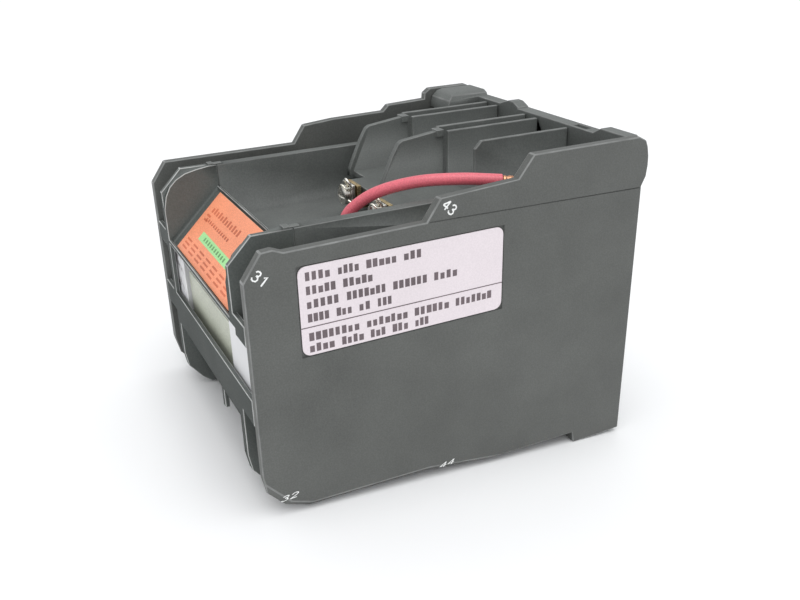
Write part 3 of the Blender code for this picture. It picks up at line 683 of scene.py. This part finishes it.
def helix(name, place, axis, radius, wire, start, end, turns):
    """A compression spring with closed ends, along Y or Z, in millimetres."""
    count = int(turns * STEPS_A_TURN)
    low, high = start + math.copysign(wire, end - start), end - math.copysign(wire, end - start)
    path = []
    for i in range(count + 1):
        t = i / count
        angle = math.tau * turns * t
        rise = min(1.0, max(0.0, (t - CLOSED_SHARE) / (1 - 2 * CLOSED_SHARE)))
        along = low + (high - low) * (OPEN_RISE * rise + (1 - OPEN_RISE) * t)
        a, b = radius * math.cos(angle), radius * math.sin(angle)
        if axis == "Y":
            path.append(mm(place[0] + a, along, place[1] + b))
        else:
            path.append(mm(place[0] + a, place[1] + b, along))
    return tube(name, path, wire * MM, "spring", sides=8)


for side, x in (("left", -11.8), ("right", 11.8)):
    spring = helix(f"return_coil_{side}", (x, 0.0), "Y", 1.9, 0.4, -41.0, -26.3, 7.0)
    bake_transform(spring)
    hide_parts("return_spring_" + side)

latch_coil = helix("latch_coil", (0.0, 1.75), "Z", 1.0, 0.25, -32.9, -25.3, 8.0)
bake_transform(latch_coil)
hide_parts("latch_spring")

CONTACT_SPRINGS = [
    ([*MAIN_X.items(), ("43_44", AUX_X)], -63.4, -56.8, 4.5),
    ([("21_22", -AUX_X), ("31_32", AUX_X)], -85.8, -80.8, 3.5),
]
for springs, start, end, turns in CONTACT_SPRINGS:
    for name, x in springs:
        coil = helix(f"contact_coil_{name}", (x, 0.0), "Y", 1.7, 0.3, start, end, turns)
        settle(coil, "armature", "steel")


# Clamp screws

HEAD_FRONT = 3.2
CLAMP_THICK = 1.1
SLOT_WIDTH = 0.8
SLOT_DEPTHS = (1.3, 0.9)


def screw_mesh(head, plate, face, tip):
    """A cross-slotted pan-head screw on a square clamp plate, along Y at x = z = 0."""
    front = face - HEAD_FRONT
    clamp_front = face - CLAMP_THICK
    profile = [
        (front, head * 0.2), (front + 0.05, head * 0.6), (front + 0.2, head * 0.88),
        (front + 0.4, head),
        (clamp_front - 0.15, head), (clamp_front, head * 0.95), (clamp_front, head * 0.5),
        (tip - 0.6, head * 0.5), (tip, head * 0.3),
    ]
    body = lathe("screw_body", profile, Vector(), Vector((0, 1, 0)), ["steel"], sides=40)
    wide, thin = head * 0.86, SLOT_WIDTH / 2
    slots = [
        blocks("slot_cutter", [(-a, a, front - 1.0, front + depth, -b, b)], "steel")
        for a, b, depth in ((wide, thin, SLOT_DEPTHS[0]), (thin, wide, SLOT_DEPTHS[1]))
    ]
    carve(body, *slots)
    square = (-plate, plate, clamp_front, face, -plate, plate)
    bm = bmesh.new()
    absorb(bm, body)
    absorb(bm, blocks("clamp_plate", [square], "steel", width=0.3, segments=3))
    mesh = bpy.data.meshes.new("clamp_screw")
    bm.to_mesh(mesh)
    bm.free()
    mesh.materials.append(M["steel"])
    smooth_shade(mesh, 35)
    return mesh


def place_screws(mesh, rows):
    for node, x, z in rows:
        obj = link(node + "_form", mesh.copy())
        obj.data.transform(Matrix.Translation(mm(x, 0.0, z)))
        settle(obj, "housing", "steel", node)


SCREW_Z = 24.0
BREAK_Z = 21.5
MAIN_CLAMP = -59.3
BREAK_CLAMP = -90.6
COIL_X = 21.5
main_rows = [(f"line_screw_{n}", x, SCREW_Z) for n, x in MAIN_X.items()]
main_rows += [(f"load_screw_{n}", x, -SCREW_Z) for n, x in MAIN_X.items()]
main_rows += [("make_screw_43", AUX_X, SCREW_Z), ("make_screw_44", AUX_X, -SCREW_Z)]
main_rows += [("coil_screw_a1", COIL_X, SCREW_Z), ("coil_screw_a2", COIL_X, -SCREW_Z)]
place_screws(screw_mesh(2.7, 3.3, MAIN_CLAMP, -50.5), main_rows)
break_rows = [("break_screw_21", -AUX_X, BREAK_Z), ("break_screw_22", -AUX_X, -BREAK_Z)]
break_rows += [("break_screw_31", AUX_X, BREAK_Z), ("break_screw_32", AUX_X, -BREAK_Z)]
place_screws(screw_mesh(2.6, 2.9, BREAK_CLAMP, -84.0), break_rows)


# Wire clamps: bent prongs of bright wire that grip a lead beside each main pole's screw

PRONG_FRONT = -60.8
PRONG_RADIUS = 0.36


def prongs(name, x, sign):
    """One clamp. Its bends are (right, rear, up) from the screw's axis at PRONG_FRONT."""
    shapes = [
        [(1.0, 0.4, 2.6), (0.9, -0.3, 4.0), (1.6, -0.6, 4.9), (2.5, -0.5, 4.6), (2.9, 0.0, 3.6),
         (2.7, 0.5, 2.4)],
        [(3.1, 0.2, 2.6), (1.6, -0.6, 2.2), (0.2, -1.2, 2.9), (-0.6, -1.3, 2.2), (-0.4, -0.9, 1.2)],
        [(3.0, 0.3, -1.6), (1.9, -0.8, -0.7), (0.6, -1.6, -0.5), (-0.3, -1.5, -1.2),
         (0.3, -0.9, -2.4)],
    ]
    bm = bmesh.new()
    for shape in shapes:
        path = smooth_path([(x + a, PRONG_FRONT + b, sign * (SCREW_Z + c)) for a, b, c in shape], 4)
        absorb(bm, tube("prong", path, PRONG_RADIUS * MM, "bright", sides=8))
    obj = form(name, bm, "bright")
    obj.data.shade_smooth()
    settle(obj, "housing", "steel")


for number, x in MAIN_X.items():
    prongs("line_prongs_" + number, x, 1)
    prongs("load_prongs_" + number, x, -1)


# Coil winding: rows of enamelled wire round the bobbin


def winding():
    """A rounded rectangular coil whose outside swells at each turn of wire."""
    turns, first, last = 16, -24.2, -13.2
    pitch = (last - first) / turns
    swell = 0.35
    half_a, half_b, corner = 13.4, 11.4, 3.0
    hole_a, hole_b = 9.9, 6.4
    points = 5
    bm = bmesh.new()
    outline = rounded(-half_a, half_a, -half_b, half_b, corner, points)
    rings = []
    for i in range(turns * 4 + 1):
        y = first + pitch * i / 4
        bulge = swell * abs(math.sin(math.pi * i / 4))
        grow_a, grow_b = 1 + bulge / half_a, 1 + bulge / half_b
        rings.append([bm.verts.new(mm(x * grow_a, y, z * grow_b)) for x, z in outline])
    hole_corners = ((hole_a, hole_b), (-hole_a, hole_b), (-hole_a, -hole_b), (hole_a, -hole_b))
    inner = [[bm.verts.new(mm(x, y, z)) for x, z in hole_corners] for y in (first, last)]
    count = len(outline)
    for one, two in zip(rings, rings[1:]):
        for k in range(count):
            bm.faces.new((one[k], one[(k + 1) % count], two[(k + 1) % count], two[k]))
    for k in range(4):
        bm.faces.new((inner[0][k], inner[1][k], inner[1][(k + 1) % 4], inner[0][(k + 1) % 4]))
    for ring, hole in ((rings[0], inner[0]), (rings[-1], inner[1])):
        for k in range(4):
            arc = ring[points * k:points * (k + 1)]
            bm.faces.new(arc + [hole[k]])
            after = ring[points * (k + 1) % count]
            bm.faces.new((arc[-1], after, hole[(k + 1) % 4], hole[k]))
    bmesh.ops.recalc_face_normals(bm, faces=bm.faces)
    obj = form("coil_turns", bm, "copper")
    smooth_shade(obj.data, 50)
    settle(obj, "housing", "copper", "coil_winding")


winding()


# Base screws

for number, (x, z) in enumerate([(-36.5, 19.0), (36.5, -19.0)], 1):
    head = lathe(
        f"base_screw_{number}_form",
        [(0.2, 1.1), (0.7, 1.2), (0.7, 1.3), (0.2, 2.4), (0.35, 2.8), (0.7, 3.0), (1.6, 3.0),
         (1.7, 1.4), (11.4, 1.4), (12.0, 0.6)],
        mm(x, 0.0, z), Vector((0, -1, 0)), ["steel"], sides=32,
    )
    settle(head, "housing", "steel", f"base_screw_{number}")


# Printed digits, label and marks

STROKES = {
    "1": [
        [(0.14, 0.74), (0.38, 1.0), (0.38, 0.5), (0.38, 0.0)],
    ],
    "2": [
        [(0.04, 0.76), (0.14, 0.95), (0.34, 1.0), (0.54, 0.92), (0.6, 0.72), (0.5, 0.5),
         (0.26, 0.24), (0.04, 0.0)],
        [(0.04, 0.0), (0.62, 0.0)],
    ],
    "3": [
        [(0.05, 0.8), (0.15, 0.95), (0.32, 1.0), (0.5, 0.94), (0.56, 0.77), (0.48, 0.6),
         (0.26, 0.54)],
        [(0.26, 0.54), (0.5, 0.47), (0.6, 0.28), (0.52, 0.08), (0.3, 0.0), (0.1, 0.06),
         (0.02, 0.22)],
    ],
    "4": [
        [(0.46, 0.0), (0.46, 0.5), (0.46, 1.0)],
        [(0.46, 1.0), (0.0, 0.3)],
        [(0.0, 0.3), (0.66, 0.3)],
    ],
}
# In digit heights: from one digit to the next, and from a digit's left edge to its strokes
DIGIT_STEP = 0.86
DIGIT_MARGIN = 0.12
DIGIT_DEPTH = 0.02


def digits(name, text, height, stroke, place, right, up):
    """Printed digits as flat round-ended strokes on a face. Right and up may be slanted."""
    bm = bmesh.new()
    out = right.cross(up).normalized()
    for number, digit in enumerate(text):
        for line in STROKES[digit]:
            shift = (number - 0.5 * len(text)) * DIGIT_STEP + DIGIT_MARGIN
            path = [(Vector((a + shift, b - 0.5, 0.0))) * height * MM for a, b in line]
            absorb(bm, tube("stroke", path, stroke * MM / 2, "digits", sides=8))
    basis = Matrix((right, up, out * (DIGIT_DEPTH / stroke))).transposed().to_4x4()
    bm.transform(Matrix.Translation(place) @ basis)
    settle(form(name, bm, "digits"), "housing", "label")


def on_side(degrees):
    """(right, up) unit vectors in the right panel's face, with right turned from the rear."""
    a = math.radians(degrees)
    return Vector((0.0, math.cos(a), math.sin(a))), Vector((0.0, -math.sin(a), math.cos(a)))


for text, y, z in (("43", -56.6, 33.8), ("31", -102.2, 25.9)):
    digits("number_" + text, text, 2.4, 0.4, mm(HALF_WIDTH, y, z), *on_side(-44.0))
SLANTED_RIGHT = Vector((0.0, 1.0, 0.06))
SLANTED_UP = Vector((0.0, 0.30, 0.50))
for text, y, z in (("32", -100.0, -30.7), ("44", -57.0, -35.9)):
    digits("number_" + text, text, 2.7, 0.4, mm(HALF_WIDTH, y, z), SLANTED_RIGHT, SLANTED_UP)

# The label's sides (y0, y1, z0, z1), its corner radius, and where its back and face are
LABEL = (-94.0, -41.8, 5.2, 26.6)
LABEL_CORNER = 2.0
LABEL_BACK = 42.7
LABEL_FACE = 42.97
sheet = rounded(*LABEL, LABEL_CORNER, 7)
label = slab("label_sheet", sheet, LABEL_BACK, LABEL_FACE, "label")
settle(label, "housing", "label", "side_label")

random.seed(7)


def word_bars(y0, y1, z, height, gap, words):
    """Rows of letter-sized bars in words, from y0 to y1. They stand for text without being any."""
    weights = [random.uniform(0.7, 1.5) for _ in range(words)]
    scale = (y1 - y0 - gap * (words - 1)) / sum(weights)
    bars = []
    at = y0
    for weight in weights:
        letters = max(2, round(weight * scale / 1.5))
        pitch = weight * scale / letters
        for k in range(letters):
            low = z - height / 2
            high = low + height * random.choice((0.78, 1.0, 1.0))
            bars.append((at + pitch * k, at + pitch * (k + random.uniform(0.62, 0.8)), low, high))
        at += weight * scale + gap
    return bars


# Each row: where it ends, its height on the panel and its number of words
LABEL_ROWS = [
    (-63.5, 24.2, 4), (-76.0, 20.9, 2), (-54.0, 17.6, 4),
    (-71.5, 14.3, 4), (-44.5, 9.7, 4), (-62.0, 6.9, 5),
]
ROWS_START = -92.3
bars = []
for end, z, words in LABEL_ROWS:
    bars += word_bars(ROWS_START, end, z, 2.0, 1.5, words)
bars.append((LABEL[0] + 0.02, LABEL[1] - 0.02, 12.0, 12.25))
ink = [(LABEL_FACE - 0.01, LABEL_FACE + 0.02, *bar) for bar in bars]
settle(blocks("label_bars", ink, "label_ink"), "housing", "label")

# The nameplate's slope, from its low front edge to its high rear edge
LOW = mm(0.0, -105.0, 11.5)
HIGH = mm(0.0, -91.2, 24.9)
UPHILL = (HIGH - LOW).normalized()
SLOPE_OUT = Vector((1, 0, 0)).cross(UPHILL)


def slope_marks(name, marks, mat, thick):
    """Flat marks on the nameplate: (x0, x1, low, high) in millimetres, measured up the slope."""
    obj = blocks(name, [(x0, x1, low, high, 0.0, thick) for x0, x1, low, high in marks], mat)
    basis = Matrix((Vector((1, 0, 0)), UPHILL, SLOPE_OUT)).transposed().to_4x4()
    obj.data.transform(Matrix.Translation(LOW) @ basis)
    return settle(obj, "housing", "nameplate")


slope_marks("nameplate_green", [(-15.5, 9.5, 5.9, 8.4)], "green", 0.05)
marks = [(-12.0 + 1.9 * k, -11.1 + 1.9 * k, 6.6, 7.7) for k in range(10)]
slope_marks("nameplate_ticks", marks, "green_ink", 0.07)
marks = [(-20.0 + 2.0 * k, -18.9 + 2.0 * k, 13.6, 15.0 + 0.5 * (k % 2)) for k in range(12)]
marks += [(-21.0, -18.2, 10.6 + 1.5 * k, 11.2 + 1.5 * k) for k in range(2)]
marks += [(-19.5 + 1.7 * k, -18.6 + 1.7 * k, 10.9, 11.8) for k in range(12)]
marks += [
    (-21.5 + 6.0 * k, -17.5 + 6.0 * k, low, low + 0.5) for k in range(7) for low in (1.4, 2.6, 3.8)
]
slope_marks("nameplate_marks", marks, "nameplate_ink", 0.04)
